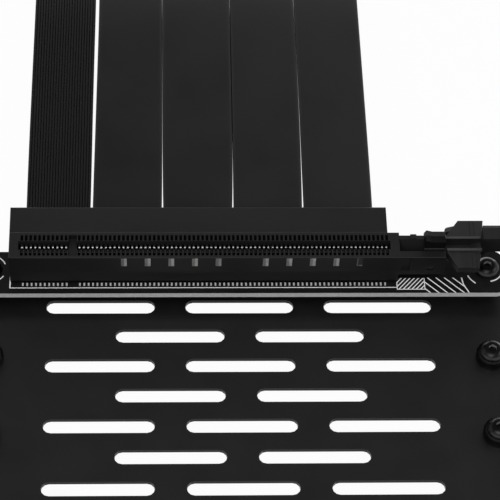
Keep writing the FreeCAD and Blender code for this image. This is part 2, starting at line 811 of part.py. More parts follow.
def make_latch():
    """The moulded lever that locks the card: hook, arm, winged head and thumb tab in one piece."""
    made = body("latch_lever")
    left = f"({FORK_END} + latch_head_gap)"
    right = f"({FORK_END} + latch_head_gap + latch_head_length)"
    top = f"({SLOT_TOP} + latch_head_rise)"
    floor = f"({SLOT_TOP} + latch_head_rise - latch_groove_depth)"
    keel = f"({SLOT_TOP} + latch_head_rise - latch_keel_depth)"
    draw_latch_arm(made, left, floor, keel)
    draw_latch_head(made, left, right, top)
    rib = "(latch_groove_half + latch_lip_width)"
    under = sketch_on(made, "latch_keel_outline", "XY", keel)
    draw_rectangle(under, left, f"slot_line - {rib}", f"{right} - latch_tab_root", f"slot_line + {rib}")
    pad(made, "latch_keel", under, "latch_keel_depth")
    lips = sketch_on(made, "latch_lip_outline", "XY", top)
    draw_rectangle(lips, left, f"slot_line - {rib}", right, "slot_line - latch_groove_half")
    draw_rectangle(lips, left, "slot_line + latch_groove_half", right, f"slot_line + {rib}")
    pad(made, "latch_lips", lips, "latch_lip_height")
    groove = sketch_on(made, "latch_groove_outline", "XY", top)
    draw_rectangle(groove, left, "slot_line - latch_groove_half", right, "slot_line + latch_groove_half")
    pocket(made, "latch_groove", groove, "latch_groove_depth")
    draw_latch_tab(made, right, floor, keel)
    pins = sketch_on(made, "latch_pins_outline", "XZ", f"-{SLOT_FRONT} - screw_clearance")
    draw_circle(pins, PIVOT_X, PIVOT_Z, "pivot_radius")
    across = f"slot_line + fork_half_gap + fork_far_wall - {SLOT_FRONT} - 2 * screw_clearance"
    pad(made, "latch_pins", pins, across, reverse=True)
    return node(made, "latch_lever")


def draw_latch_arm(latch, left, floor, keel):
    """The hub between the fork's cheeks, with the hook above it and a foot that carries the head."""
    half = "(fork_half_gap - latch_side_gap)"
    arm = sketch_on(latch, "latch_side", "XZ", f"{half} - slot_line")
    draw_polygon(
        arm,
        (
            (f"{PIVOT_X} - latch_hub_radius", PIVOT_Z),
            (f"{PIVOT_X} - latch_hub_radius * 0.5", f"{PIVOT_Z} - latch_hub_radius * 0.86"),
            (f"{PIVOT_X} + latch_hub_radius * 0.5", f"{PIVOT_Z} - latch_hub_radius * 0.86"),
            (f"{PIVOT_X} + latch_hub_radius", PIVOT_Z),
            (f"{left} + latch_tab_root", keel),
            (f"{left} + latch_tab_root", floor),
            (f"{left} - latch_arm_slit", floor),
            (f"{left} - latch_arm_slit", f"{SLOT_TOP} + latch_hook_rise"),
            (PIVOT_X, f"{SLOT_TOP} + latch_hook_rise"),
            (f"{PIVOT_X} - latch_hub_radius", f"{SLOT_TOP} + latch_hook_tip"),
            (f"{PIVOT_X} - latch_hub_radius * 1.4", f"{SLOT_TOP} + latch_hook_rise - latch_hook_drop"),
        ),
    )
    pad(latch, "latch_arm", arm, f"2 * {half}", reverse=True)


def draw_latch_head(latch, left, right, top):
    """The head's two wings, which lean a little to the right at the far side, with a lug on the far one."""
    neck = "(latch_groove_half + latch_lip_width)"
    slope = f"(latch_head_bevel + latch_head_skew) / (latch_head_half_width - {neck})"
    wings = sketch_on(latch, "latch_head_outline", "XY", f"{top} - latch_head_thickness")
    draw_polygon(
        wings,
        (
            (left, f"slot_line - {neck}"),
            (f"{left} + latch_head_bevel - latch_head_skew", "slot_line - latch_head_half_width"),
            (f"{right} - 2 * latch_head_skew", "slot_line - latch_head_half_width"),
            (f"{right} + 2 * latch_head_skew", "slot_line + latch_head_half_width"),
            (f"{left} + latch_head_bevel + latch_head_skew", "slot_line + latch_head_half_width"),
            (f"{left} + {slope} * (latch_lug_end - {neck})", "slot_line + latch_lug_end"),
            (f"{left} - latch_lug_reach", "slot_line + latch_lug_end"),
            (f"{left} - latch_lug_reach", "slot_line + latch_lug_start"),
            (f"{left} + {slope} * (latch_lug_start - {neck})", "slot_line + latch_lug_start"),
            (left, f"slot_line + {neck}"),
        ),
    )
    pad(latch, "latch_wings", wings, "latch_head_thickness")


def draw_latch_tab(latch, right, floor, keel):
    """The thumb tab, which rises out of the head's groove."""
    top = f"({SLOT_TOP} + latch_tab_rise)"
    tab = sketch_on(latch, "latch_tab_side", "XZ", "latch_tab_half_width - slot_line")
    draw_polygon(
        tab,
        (
            (f"{right} - latch_tab_root", keel),
            (right, f"{SLOT_TOP} + latch_head_rise - latch_head_thickness"),
            (f"{right} + latch_groove_half", f"{top} - latch_tab_thickness"),
            (f"{right} + latch_tab_length", f"{top} - latch_tab_thickness"),
            (f"{right} + latch_tab_length", top),
            (right, top),
            (right, f"{SLOT_TOP} - latch_head_rise"),
            (f"{right} - latch_tab_root", floor),
        ),
    )
    pad(latch, "latch_tab", tab, "2 * latch_tab_half_width", reverse=True)


def make_ribbon_cover():
    made = body("ribbon_cover")
    outline = sketch_on(made, "cover_outline", "XY", BOARD_TOP)
    draw_rectangle(outline, SLOT_LEFT, SLOT_REAR, COVER_RIGHT, COVER_REAR)
    pad(made, "cover_block", outline, "slot_height")
    box = outer_box(made)

    def rear_edge(a, b):
        return near((a.z, box.ZMax), (b.z, box.ZMax), (a.y, box.YMax), (b.y, box.YMax))

    dress(made, "Chamfer", "cover_edge", rear_edge, Size="cover_chamfer")
    hollow = sketch_on(made, "cover_hollow_outline", "XY", BOARD_TOP)
    draw_rectangle(
        hollow,
        f"{SLOT_LEFT} + cover_wall",
        f"{SLOT_REAR} - cover_wall",
        f"{COVER_RIGHT} - cover_wall",
        f"{COVER_REAR} - cover_wall",
    )
    pocket(made, "cover_hollow", hollow, "slot_height - cover_wall", reverse=True)
    under = sketch_on(made, "cover_tail_outline", "XY", BOARD_TOP)
    tails_end = "slot_line + contact_tail + screw_clearance"
    draw_rectangle(under, GAP_LEFT, f"{SLOT_REAR} - cover_wall", f"{COVER_RIGHT} + cover_wall", tails_end)
    pocket(made, "cover_tail_room", under, "tail_room", reverse=True)
    return node(made, "ribbon_cover")


def rounded_strip(points, thickness):
    """A strip's side face: straight runs joined by tangent arcs as large as the shorter run allows."""
    sides = {thickness / 2: [], -thickness / 2: []}
    starts, length, radii = {}, 0.0, []
    across = FreeCAD.Vector(1, 0, 0)
    last = points[0]
    for before, corner, after in zip(points, points[1:], points[2:]):
        into, out = (corner - before).normalize(), (after - corner).normalize()
        half_turn = into.getAngle(out) / 2
        reach = 0.45 * min((corner - before).Length, (after - corner).Length)
        radius = reach / math.tan(half_turn)
        enters, leaves = corner - into * reach, corner + out * reach
        inwards = (out - into).normalize()
        middle = corner + inwards * (radius / math.cos(half_turn) - radius)
        for offset, edges in sides.items():
            first, second = across.cross(into) * offset, across.cross(out) * offset
            start = starts.get(offset, points[0] + first)
            top = middle + (first + second).normalize() * abs(offset)
            edges.append(Part.LineSegment(start, enters + first).toShape())
            edges.append(Part.Arc(enters + first, top, leaves + second).toShape())
            starts[offset] = leaves + second
        radii.append(radius)
        length += (enters - last).Length + 2 * half_turn * radius
        last = leaves
    end = (points[-1] - points[-2]).normalize()
    for offset, edges in sides.items():
        edges.append(Part.LineSegment(starts[offset], points[-1] + across.cross(end) * offset).toShape())
    upper, lower = sides.values()
    caps = [Part.LineSegment(u.Point, v.Point).toShape() for u, v in (
        (upper[0].Vertexes[0], lower[0].Vertexes[0]), (upper[-1].Vertexes[1], lower[-1].Vertexes[1]))]
    outline = Part.Wire(Part.sortEdges(upper + lower + caps)[0])
    return Part.Face(outline), length + (points[-1] - last).Length, radii


def make_ribbons():
    """Flat ribbons side by side along one route, each a plain strip of its own width."""
    thickness = size("ribbon_thickness")
    for number, (left, width) in enumerate(RIBBONS, 1):
        face, length, radii = rounded_strip([FreeCAD.Vector(left, y, z) for y, z in ROUTE], thickness)
        made = doc.addObject("Part::Feature", f"ribbon_{number}_strip")
        made.Shape = face.extrude(FreeCAD.Vector(width, 0, 0))
        node(made, f"ribbon_{number}")
        print(f"ribbon_{number} length {length:.2f} volume {made.Shape.Volume:.2f}"
              f" section times length {width * thickness * length:.2f}")
    print("ribbon radii", [round(radius, 1) for radius in radii])


def make_plug():
    bottom = f"({PLUG_MIDDLE} - board_thickness / 2)"
    tip = f"({PLUG_FRONT} + finger_reach)"
    board = body("plug_board")
    outline = sketch_on(board, "plug_board_outline", "XY", bottom)
    notch = (f"{KEY_X} - key_width / 2 + finger_side / 4", f"{KEY_X} + key_width / 2 - finger_side / 4")
    draw_polygon(
        outline,
        (
            (SLOT_LEFT, "plug_near + plug_cover_lip"),
            (SLOT_RIGHT, "plug_near + plug_cover_lip"),
            (SLOT_RIGHT, f"{PLUG_FRONT} + finger_side"),
            (f"{LAST_CONTACT} + finger_side", f"{PLUG_FRONT} + finger_side"),
            (f"{LAST_CONTACT} + finger_side", tip),
            (notch[1], tip),
            (notch[1], f"{PLUG_FRONT} + finger_side"),
            (notch[0], f"{PLUG_FRONT} + finger_side"),
            (notch[0], tip),
            ("-first_contact - finger_side", tip),
            ("-first_contact - finger_side", f"{PLUG_FRONT} + finger_side"),
            (SLOT_LEFT, f"{PLUG_FRONT} + finger_side"),
        ),
    )
    pad(board, "plug_board_blank", outline, "board_thickness")
    far = outer_box(board).YMax

    def lead_in(a, b):
        return near((a.y, far), (b.y, far), (a.z, b.z))

    dress(board, "Chamfer", "finger_lead_in", lead_in, Size="finger_chamfer")
    node(board, "plug_board")
    for label, low, pocket_low in (
        ("plug_cover_lower", "0", f"{bottom} - plug_fit"),
        ("plug_cover_upper", PLUG_MIDDLE, PLUG_MIDDLE),
    ):
        make_plug_cover(label, low, pocket_low)


def make_plug_cover(label, low, pocket_low):
    """One half of the plug's cover, with a seat for its half of the board's thickness."""
    made = body(label)
    outline = sketch_on(made, f"{label}_outline", "XY", low)
    left, right = f"{SLOT_LEFT} - plug_cover_side", f"{SLOT_RIGHT} + plug_cover_side"
    draw_rectangle(outline, left, "plug_near", right, PLUG_FRONT)
    pad(made, f"{label}_block", outline, "plug_cover_height / 2")
    dress(made, "Chamfer", f"{label}_corners", upright, Size="plug_corner")
    seat = sketch_on(made, f"{label}_seat_outline", "XY", pocket_low)
    draw_rectangle(
        seat,
        f"{SLOT_LEFT} - plug_fit",
        "plug_near + plug_cover_lip - plug_fit",
        f"{SLOT_RIGHT} + plug_fit",
        f"{PLUG_FRONT} + plug_cover_lip",
    )
    pocket(made, f"{label}_seat", seat, "board_thickness / 2 + plug_fit", reverse=True)
    node(made, label)


def check_document():
    for thing in doc.Objects:
        if "Invalid" in thing.State or "Error" in thing.State:
            raise RuntimeError(f"{thing.Label}: {thing.State}")
    for made in nodes:
        if made.Shape.isNull() or not made.Shape.isValid():
            raise RuntimeError(f"{made.Label}: no valid shape")


def write_parts():
    os.makedirs("parts", exist_ok=True)
    for made in nodes:
        made.Shape.exportStep(f"parts/{made.Label}.step")
        box = made.Shape.BoundBox
        print(made.Label, len(made.Shape.Solids), "solids", round(made.Shape.Volume, 2), "mm3",
              [round(v, 2) for v in (box.XMin, box.YMin, box.ZMin, box.XMax, box.YMax, box.ZMax)])


fill_sheet()
make_base_plate()
make_io_panel()
make_fasteners()
make_spacers()
make_riser_board()
make_slot_housing()
make_ground_tabs()
make_contacts()
make_latch()
make_ribbon_cover()
make_ribbons()
make_plug()
doc.recompute()
check_document()
write_parts()
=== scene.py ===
# %% [markdown]
# # A vertical graphics card mount
# A black steel plate with rows of vents carries a small riser board. On the board stand a long
# card-edge slot with a retention latch and a moulded cover, and five flat ribbons leave the cover
# at the back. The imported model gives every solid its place; this script adds what the eye sees
# close up: rounded edges, bent contacts, wires, finishes and light.

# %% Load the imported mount
import math

import bmesh
import bpy
from mathutils import Matrix, Vector


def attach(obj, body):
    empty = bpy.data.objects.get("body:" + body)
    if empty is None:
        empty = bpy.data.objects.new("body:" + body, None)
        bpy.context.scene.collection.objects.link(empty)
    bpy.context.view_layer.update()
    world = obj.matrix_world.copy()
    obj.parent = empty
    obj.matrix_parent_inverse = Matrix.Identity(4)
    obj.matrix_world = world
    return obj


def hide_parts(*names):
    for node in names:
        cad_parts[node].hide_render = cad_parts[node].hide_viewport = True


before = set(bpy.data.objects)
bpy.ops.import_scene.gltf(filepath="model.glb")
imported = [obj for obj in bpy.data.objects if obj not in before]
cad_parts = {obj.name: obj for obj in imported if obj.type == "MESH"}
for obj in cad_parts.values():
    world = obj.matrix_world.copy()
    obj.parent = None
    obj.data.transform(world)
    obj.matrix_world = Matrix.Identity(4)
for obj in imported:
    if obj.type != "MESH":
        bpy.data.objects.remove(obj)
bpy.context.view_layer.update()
MM = 0.001
FIELD = Vector((21.75, 21.325, 0.0))


def field(x, y, z):
    """A point in millimetres from the vent field's datum and the ground, as metres in the frame."""
    return (Vector((x, y, z)) + FIELD) * MM


# %% [markdown]
# ## The camera
# The view comes from high in front of the plate, a little to the left, with a slight roll. A long
# lens keeps the slot's contacts almost evenly spaced from end to end. The camera's three axes are
# worked out from its elevation, azimuth and roll, which is clearer than guessing Euler angles.

# %% Camera
ELEVATION, AZIMUTH, ROLL = (math.radians(angle) for angle in (55.096, -3.984, 3.212))
LENS = 168.26
SENSOR = 36.0
CAMERA_SPOT = (-19.0, -297.67, 464.68)


def camera_axes():
    """The camera's right, up and backward directions in the frame."""
    ahead = Vector((
        -math.sin(AZIMUTH) * math.cos(ELEVATION),
        math.cos(AZIMUTH) * math.cos(ELEVATION),
        -math.sin(ELEVATION),
    ))
    level = ahead.cross(Vector((0, 0, 1))).normalized()
    above = level.cross(ahead)
    right = level * math.cos(ROLL) + above * math.sin(ROLL)
    up = above * math.cos(ROLL) - level * math.sin(ROLL)
    return right, up, -ahead


lens = bpy.data.cameras.new("photo_camera")
lens.lens = LENS
lens.sensor_width = SENSOR
lens.clip_start = 0.01
camera = bpy.data.objects.new("photo_camera", lens)
bpy.context.scene.collection.objects.link(camera)
turn = Matrix(camera_axes()).transposed().to_4x4()
camera.matrix_world = Matrix.Translation(field(*CAMERA_SPOT)) @ turn
bpy.context.scene.camera = camera
print("camera at", [round(c, 4) for c in camera.location])

# %% [markdown]
# ## Shader maths as plain expressions
# A finish is easier to read when its pattern is written as arithmetic. This small class wraps a
# socket, so that `1 - mask` or `x > 3` adds the Math node by itself, and one method adds any other
# node with its settings and its links.

# %% Socket wrapper
class Shade:
    """A socket of a finish; arithmetic on it adds Math nodes to the finish."""

    def __init__(self, tree, socket=None):
        self.tree = tree
        self.socket = socket

    def node(self, kind, settings, sockets, out=0):
        """Add a node of any kind, with its settings first and then its values or links."""
        made = self.tree.nodes.new(kind)
        for name, value in settings.items():
            setattr(made, name, value)
        for key, value in sockets.items():
            if isinstance(value, Shade):
                self.tree.links.new(value.socket, made.inputs[key])
            else:
                made.inputs[key].default_value = value
        return Shade(self.tree, made.outputs[out])

    def out(self, name):
        """Another output of the same node."""
        return Shade(self.tree, self.socket.node.outputs[name])

    def math(self, operation, *values):
        return self.node("ShaderNodeMath", {"operation": operation}, dict(enumerate(values)))

    def __add__(self, other):
        return self.math("ADD", self, other)

    __radd__ = __add__

    def __sub__(self, other):
        return self.math("SUBTRACT", self, other)

    def __rsub__(self, other):
        return self.math("SUBTRACT", other, self)

    def __mul__(self, other):
        return self.math("MULTIPLY", self, other)

    __rmul__ = __mul__

    def __mod__(self, other):
        return self.math("FLOORED_MODULO", self, other)

    def __pow__(self, other):
        return self.math("POWER", self, other)

    def __abs__(self):
        return self.math("ABSOLUTE", self)

    def __gt__(self, other):
        return self.math("GREATER_THAN", self, other)

    def __lt__(self, other):
        return self.math("LESS_THAN", self, other)


print("socket wrapper ready")

# %% [markdown]
# ## How a finish is started
# Each finish is one Principled shader. What is the same all over is set on its own sockets, and
# only what changes over the surface is linked. The pattern's coordinates are the object's own, in
# metres, so noise scales are written in grains per metre.

# %% Finish helpers
NOISE_ROUGHNESS = 0.55
NOISE_SPAN = (0.3, 0.7)


class Finish:
    """A material with its shader and a few ways to vary it over the surface."""

    def __init__(self, name, **constants):
        self.material = bpy.data.materials.new(name)
        self.material.use_nodes = True
        self.tree = self.material.node_tree
        self.shader = self.tree.nodes["Principled BSDF"]
        for socket, value in constants.items():
            self.shader.inputs[socket.replace("_", " ")].default_value = value
        self.place = Shade(self.tree).node("ShaderNodeTexCoord", {}, {}, "Object")
        axes = self.place.node("ShaderNodeSeparateXYZ", {}, {"Vector": self.place})
        self.x, self.y, self.z = (axes.out(name) * 1000 - shift for name, shift in zip("XYZ", FIELD))

    def link(self, **sockets):
        """Feed the shader's sockets from the finish's patterns."""
        for socket, value in sockets.items():
            self.tree.links.new(value.socket, self.shader.inputs[socket.replace("_", " ")])

    def noise(self, per_metre, detail, stretch=(1.0, 1.0, 1.0)):
        """A soft random value from 0 to 1, stretched along the axes."""
        where = self.place.node(
            "ShaderNodeVectorMath", {"operation": "MULTIPLY"}, {0: self.place, 1: stretch}
        )
        values = {"Vector": where, "Scale": per_metre, "Detail": detail, "Roughness": NOISE_ROUGHNESS}
        return self.place.node("ShaderNodeTexNoise", {}, values)

    def mix(self, mask, low, high):
        """A colour between two, by a mask; sockets 6 and 7 are the Mix node's two colours."""
        return self.place.node("ShaderNodeMix", {"data_type": "RGBA"}, {0: mask, 6: low, 7: high}, 2)

    def bump(self, height, distance, strength=1.0):
        """Tilt the normal as if the pattern stood up by a distance in metres."""
        values = {"Strength": strength, "Distance": distance, "Height": height}
        self.link(Normal=self.place.node("ShaderNodeBump", {}, values))

    def range(self, value, low, high, to_low, to_high):
        """Carry a value from one span to another, held at its ends."""
        values = {0: value, 1: low, 2: high, 3: to_low, 4: to_high}
        return self.place.node("ShaderNodeMapRange", {}, values)

    def spread(self, noise, low, high):
        """Carry the span that most of a noise lies in to another span."""
        return self.range(noise, *NOISE_SPAN, low, high)


def grey(value, warm=0.0):
    """A grey, or a warm one with more red than blue."""
    return (value * (1 + warm), value, value * (1 - warm), 1.0)


print("finish helpers ready")

# %% [markdown]
# ## Finishes of the steel
# The plate and the panel are powder coated: a baked skin of fine grains that scatters light softly
# and turns slightly lighter where the grains stand thick. The cut walls of the vents and the sides
# of the bosses are turned near black by a metallic mask, as painted shade. Black oxide on the screws
# is thinner still and a little shinier, and the grey of the steel shows in it at random. The rim and
# the far side of each head's dome are painted paler as painted highlights, and each socket is
# painted pale grey as painted light on its far wall.

# %% Powder coat and black oxide
PLATE_TOP = 14.0
SHEET = 1.0
VENTS_SIDE, VENTS_FRONT, VENTS_REAR = 52.0, -52.0, 4.0
PLATE_END = -90.0
BOSS_TOP = 16.6
BOARD_TOP = 20.6
SCREW_SIDE = 57.25
SCREW_LINE = 6.2
SCREW_PITCH = 20.32
BOARD_SCREWS_FROM = -4.0
HEAD_RADIUS, HEAD_HEIGHT = 2.85, 1.65
SOCKET_RADIUS, SOCKET_DEPTH = 1.0, 1.0
SHOULDER_INNER, SHOULDER_OUTER = 1.8, 2.6
MARGIN = 0.05


def within(value, low, high):
    """A mask of 1 between two values."""
    return (value > low) * (value < high)


def powder_coat():
    made = Finish("satin_powder_coat", Specular_IOR_Level=0.5)
    grain = made.noise(2600.0, 2.0)
    cloud = made.noise(90.0, 3.0)
    vents = within(made.x, -VENTS_SIDE, VENTS_SIDE) * within(made.y, VENTS_FRONT, VENTS_REAR)
    # painted shade: the cut walls of the vents are turned near black through Metallic
    vent_wall_shade = vents * within(made.z, PLATE_TOP - SHEET - MARGIN, PLATE_TOP - MARGIN)
    # painted shade: the sides of the bosses are darkened through Metallic, more towards their tops
    raised = within(made.z, PLATE_TOP + 0.15, BOSS_TOP + 0.1) * (made.x > PLATE_END)
    boss_side_shade = raised * made.range(made.z, PLATE_TOP + 0.2, PLATE_TOP + 2.0, 0.4, 0.75)
    made.link(
        Base_Color=made.mix(grain * 0.6 + cloud * 0.4, grey(0.0035), grey(0.0085)),
        Roughness=made.spread(cloud, 0.34, 0.42),
        Metallic=vent_wall_shade * 0.9 + boss_side_shade,
    )
    made.bump(grain, 0.00004, 0.5)
    return made.material


def black_oxide():
    made = Finish("black_oxide")
    wear = made.noise(700.0, 4.0)
    aside = abs(made.x) - SCREW_SIDE
    along = (made.y - SCREW_LINE + SCREW_PITCH / 2) % SCREW_PITCH - SCREW_PITCH / 2
    reach = (aside ** 2 + along ** 2) ** 0.5
    rise = made.z - BOSS_TOP - (made.y > BOARD_SCREWS_FROM) * (BOARD_TOP - BOSS_TOP)
    sunk = within(rise, HEAD_HEIGHT - SOCKET_DEPTH + 0.1, HEAD_HEIGHT - MARGIN)
    # painted light: the socket is pale grey and not metallic, standing in for its lit far wall
    socket = sunk * (reach < SOCKET_RADIUS + 0.03)
    # painted highlight: a faint paler ring round the edge of each head
    rim = within(reach, HEAD_RADIUS - 0.4, HEAD_RADIUS + MARGIN) * within(rise, 0.25, 1.1)
    domed = within(reach, SHOULDER_INNER, SHOULDER_OUTER) * within(rise, 0.5, HEAD_HEIGHT - MARGIN)
    # painted highlight: only the far side of each dome is painted paler
    far_dome_highlight = domed * (along > 1.0)
    black = made.mix(wear, grey(0.012), grey(0.03))
    # the pale grey of the painted highlights and of the painted light in the sockets
    painted_highlights = made.mix(wear, grey(0.12), grey(0.45))
    made.link(
        Base_Color=made.mix(socket + rim * 0.09 + far_dome_highlight * 0.7, black, painted_highlights),
        Roughness=made.spread(wear, 0.28, 0.38),
        Metallic=1 - socket,
    )
    return made.material


coat, oxide = powder_coat(), black_oxide()
print("steel finishes:", coat.name, oxide.name)

# %% [markdown]
# ## Finishes of the plastics
# Connector plastic is glass filled, so its skin is matt with faint flow marks along the mould. The
# slot's front is painted blacker than its rim as painted shade, and the fork is painted paler inside
# as painted light. On the latch the two lips and the thumb tab's rear edge are painted pale as
# painted highlights, and the far wing is painted lighter as painted light. The arm and the thumb
# tab's front are painted dark as painted shade, the rest of the tab at half strength, and the wings
# keep fine marks across. Each of these is a mask on the height or the distance from the slot's
# middle line.

# %% Moulded plastics
SLOT_TOP = 29.8
SLOT_LINE = 6.37
SLOT_HALF = 3.45
FORK_START = 36.5
FORK_HALF = 1.75
LIP_INNER, LIP_OUTER = 1.35, 1.95
WING_START = 2.2
ARM_END = 47.5
TAB_ROOT = 54.85
TAB_HALF = 2.25
FIRST_MARK, SECOND_MARK = (52.35, 52.6), (53.38, 53.6)


def moulded(name, dark, light, rough, marks=(0.35, 1.0, 1.0)):
    """A matt plastic, and its colour and roughness as they vary with the flow marks."""
    made = Finish(name, Specular_IOR_Level=0.4)
    flow = made.noise(60.0, 3.0, stretch=marks)
    grain = made.noise(1500.0, 2.0)
    made.bump(grain, 0.00001)
    colour = made.mix(flow * 0.6 + grain * 0.4, grey(dark), grey(light))
    return made, colour, made.spread(flow, rough - 0.06, rough + 0.06)


def plain_plastic(name, dark, light, rough):
    made, colour, matt = moulded(name, dark, light, rough)
    made.link(Base_Color=colour, Roughness=matt)
    return made.material


def connector_plastic():
    made, colour, matt = moulded("matt_slot_plastic", 0.004, 0.009, 0.5)
    # painted shade: the slot's front face is mixed most of the way to black
    front = made.y < SLOT_LINE - SLOT_HALF
    # painted light: the fork's channel is painted paler grey inside
    fork_light = (made.x > FORK_START) * within(made.y, SLOT_LINE - FORK_HALF, SLOT_LINE + FORK_HALF)
    shaded = made.mix(front * 0.8, colour, grey(0.0))
    made.link(Base_Color=made.mix(fork_light, shaded, grey(0.035)), Roughness=matt)
    return made.material


def lever_plastic():
    made, colour, matt = moulded("matt_latch_plastic", 0.008, 0.022, 0.42, marks=(12.0, 0.4, 0.4))
    off = abs(made.y - SLOT_LINE)
    # painted highlights: the two lips are painted pale
    lip_highlights = within(off, LIP_INNER, LIP_OUTER) * within(made.z, SLOT_TOP + 0.5, SLOT_TOP + 0.75)
    marks = (within(made.x, *FIRST_MARK) + within(made.x, *SECOND_MARK)) * (off > WING_START)
    # painted light: the far wing is painted lighter
    far = (made.y > SLOT_LINE + WING_START) * (made.z > SLOT_TOP + 0.3)
    # painted shade: the arm and the thumb tab's front are painted dark, and partly metallic to darken
    # them more
    arm_shade = (made.z > SLOT_TOP + 0.9) * (made.x < ARM_END) * (made.y < SLOT_LINE + 0.2)
    tab = (made.x > TAB_ROOT) * (off < TAB_HALF)
    thumb_front_shade = tab * (made.y < SLOT_LINE - 1.6)
    # painted highlight: the thumb tab's rear edge is painted pale
    tab_rear_highlight = tab * (made.y > SLOT_LINE + 1.5)
    wing = made.mix(marks * 0.6, made.mix(far * 0.5, colour, grey(0.026)), grey(0.002))
    painted_highlights = made.mix(tab_rear_highlight, made.mix(lip_highlights, wing, grey(0.065)), grey(0.05))
    # painted shade on the arm, the thumb tab's front and, at half strength, the rest of the tab
    painted_shade = arm_shade + thumb_front_shade + tab * 0.5 - tab_rear_highlight * 0.5
    made.link(
        Base_Color=made.mix(painted_shade, painted_highlights, grey(0.004)),
        Roughness=matt,
        Metallic=(arm_shade + thumb_front_shade) * 0.6,
    )
    return made.material


slot_plastic, latch_plastic = connector_plastic(), lever_plastic()
cover_plastic = plain_plastic("matt_cover_plastic", 0.005, 0.011, 0.45)
nylon = plain_plastic("black_nylon", 0.012, 0.022, 0.4)
print("plastics:", slot_plastic.name, latch_plastic.name, cover_plastic.name, nylon.name)

# %% [markdown]
# ## Finishes of the ribbons
# The first ribbon is a row of bonded wires with a rubbery skin. The other four are wrapped in satin
# film, whose sheen is mottled by small dents. The film is painted greyer towards the latch as painted
# light, and darker near the cover as painted shade.

# %% Ribbon finishes
FILM_ACROSS = (-34.0, 31.0)
FILM_ALONG = (17.0, 90.0)


def wire_skin():
    made = Finish("ribbed_insulation", Specular_IOR_Level=0.22)
    dust = made.noise(400.0, 3.0, stretch=(1.0, 0.2, 1.0))
    made.link(
        Base_Color=made.mix(dust, grey(0.002), grey(0.006)),
        Roughness=made.spread(dust, 0.42, 0.55),
    )
    return made.material


def satin_film():
    made = Finish("satin_film", Specular_IOR_Level=0.35)
    dent = made.noise(70.0, 2.0)
    # painted light and shade: greyer towards the latch, darker near the cover
    across = made.range(made.x, *FILM_ACROSS, 0.22, 0.58)
    along = made.range(made.y, *FILM_ALONG, -0.05, 0.2)
    made.link(
        Base_Color=made.mix(across + along + dent * 0.1 - 0.05, grey(0.0), grey(0.02)),
        Roughness=made.spread(dent, 0.42, 0.56),
    )
    made.bump(dent, 0.0002, 0.25)
    return made.material


insulation, film = wire_skin(), satin_film()
print("ribbon finishes:", insulation.name, film.name)

# %% [markdown]
# ## Bright metals
# A contact carries a flash of pale gold on the bump that touches the card and dull white solder on
# the tail; between them the strip is painted near black as painted shade. The ground tabs are
# bright nickel; their right half is painted lighter as painted light, and the last one is darker.

# %% Plated metals
TAB_FIRST, TAB_PITCH, LAST_TAB = -26.49, 5.36, 10
BUMP_LOW, BUMP_HIGH = BOARD_TOP + 7.32, BOARD_TOP + 7.49
TIP_FROM = BOARD_TOP + 8.3
TAIL_TOP = BOARD_TOP + 0.3
TAIL_FROM = 4.2


def contact_plating():
    made = Finish("selective_plating")
    blotch = made.noise(900.0, 3.0)
    off = abs(made.y - SLOT_LINE)
    bump = within(made.z, BUMP_LOW, BUMP_HIGH)
    tip = (made.z > TIP_FROM) * (made.y < SLOT_LINE)
    tail = (made.z < TAIL_TOP) * (off > TAIL_FROM)
    # painted shade: the strip between the bump and the tail is a near-black metal
    painted_shade_metal = made.mix(blotch, grey(0.004), grey(0.012))
    gold = made.mix(blotch, grey(0.22, 0.03), grey(0.32, 0.03))
    solder = made.mix(blotch, grey(0.48), grey(0.68))
    made.link(
        Base_Color=made.mix(tail, made.mix(bump + tip * 0.5, painted_shade_metal, gold), solder),
        Roughness=made.spread(blotch, 0.34, 0.46),
        Metallic=1 - tail * 0.9,
    )
    return made.material


def tab_nickel():
    made = Finish("bright_nickel", Metallic=1.0)
    blotch = made.noise(900.0, 3.0)
    side = (made.x - TAB_FIRST + TAB_PITCH / 2) % TAB_PITCH - TAB_PITCH / 2
    last = (made.x > TAB_FIRST + LAST_TAB * TAB_PITCH - 0.4) * (made.z > SLOT_TOP - 2.9)
    # painted light: the right half of each tab is lighter than its left
    painted_light_halves = made.mix(side > 0.0, grey(0.32, 0.02), grey(0.62, 0.02))
    spotted = made.mix(blotch * 0.5, painted_light_halves, grey(0.18))
    made.link(
        Base_Color=made.mix(last, spotted, grey(0.09)),
        Roughness=made.spread(blotch, 0.28, 0.4),
    )
    return made.material


contact_finish, nickel = contact_plating(), tab_nickel()
print("metals:", contact_finish.name, nickel.name)

# %% [markdown]
# ## The circuit board
# The board is glass-fibre laminate under a black mask. Its cut edges show the pale laminate, and
# white print marks the slot's outline and two hatched fields beside the latch. The plug's board has
# the same finish and a row of gold fingers. All this is drawn as masks in the board's own
# millimetres, so each line has a plain place.

# %% Board finish
BOARD_THICKNESS = 1.6
MASK_DEPTH = 0.02
OUTLINE_LEFT = -52.7
BOX_LEFT, BOX_RIGHT = 36.0, 42.6
BOX_FRONT, BOX_REAR = 0.3, 3.5
STROKE = 0.22
DENSE_PITCH, DENSE_STROKE = 1.125, 0.42
SPARSE_PITCH, SPARSE_STROKE = 1.95, 0.38
WIDE_RING, NARROW_RING = (4.9, 5.2), (3.5, 3.8)
FINGERS_FROM, FINGERS_TO = 186.0, 192.6
FINGER_PITCH, FINGER_WIDTH = 1.0, 0.7
GILT = (0.72, 0.55, 0.28, 1.0)


def ring(made, side, span):
    """A printed ring about a board screw; side is -1 at the left and 1 at the right."""
    reach = ((made.x - side * SCREW_SIDE) ** 2 + (made.y - SCREW_LINE) ** 2) ** 0.5
    return within(reach, *span)


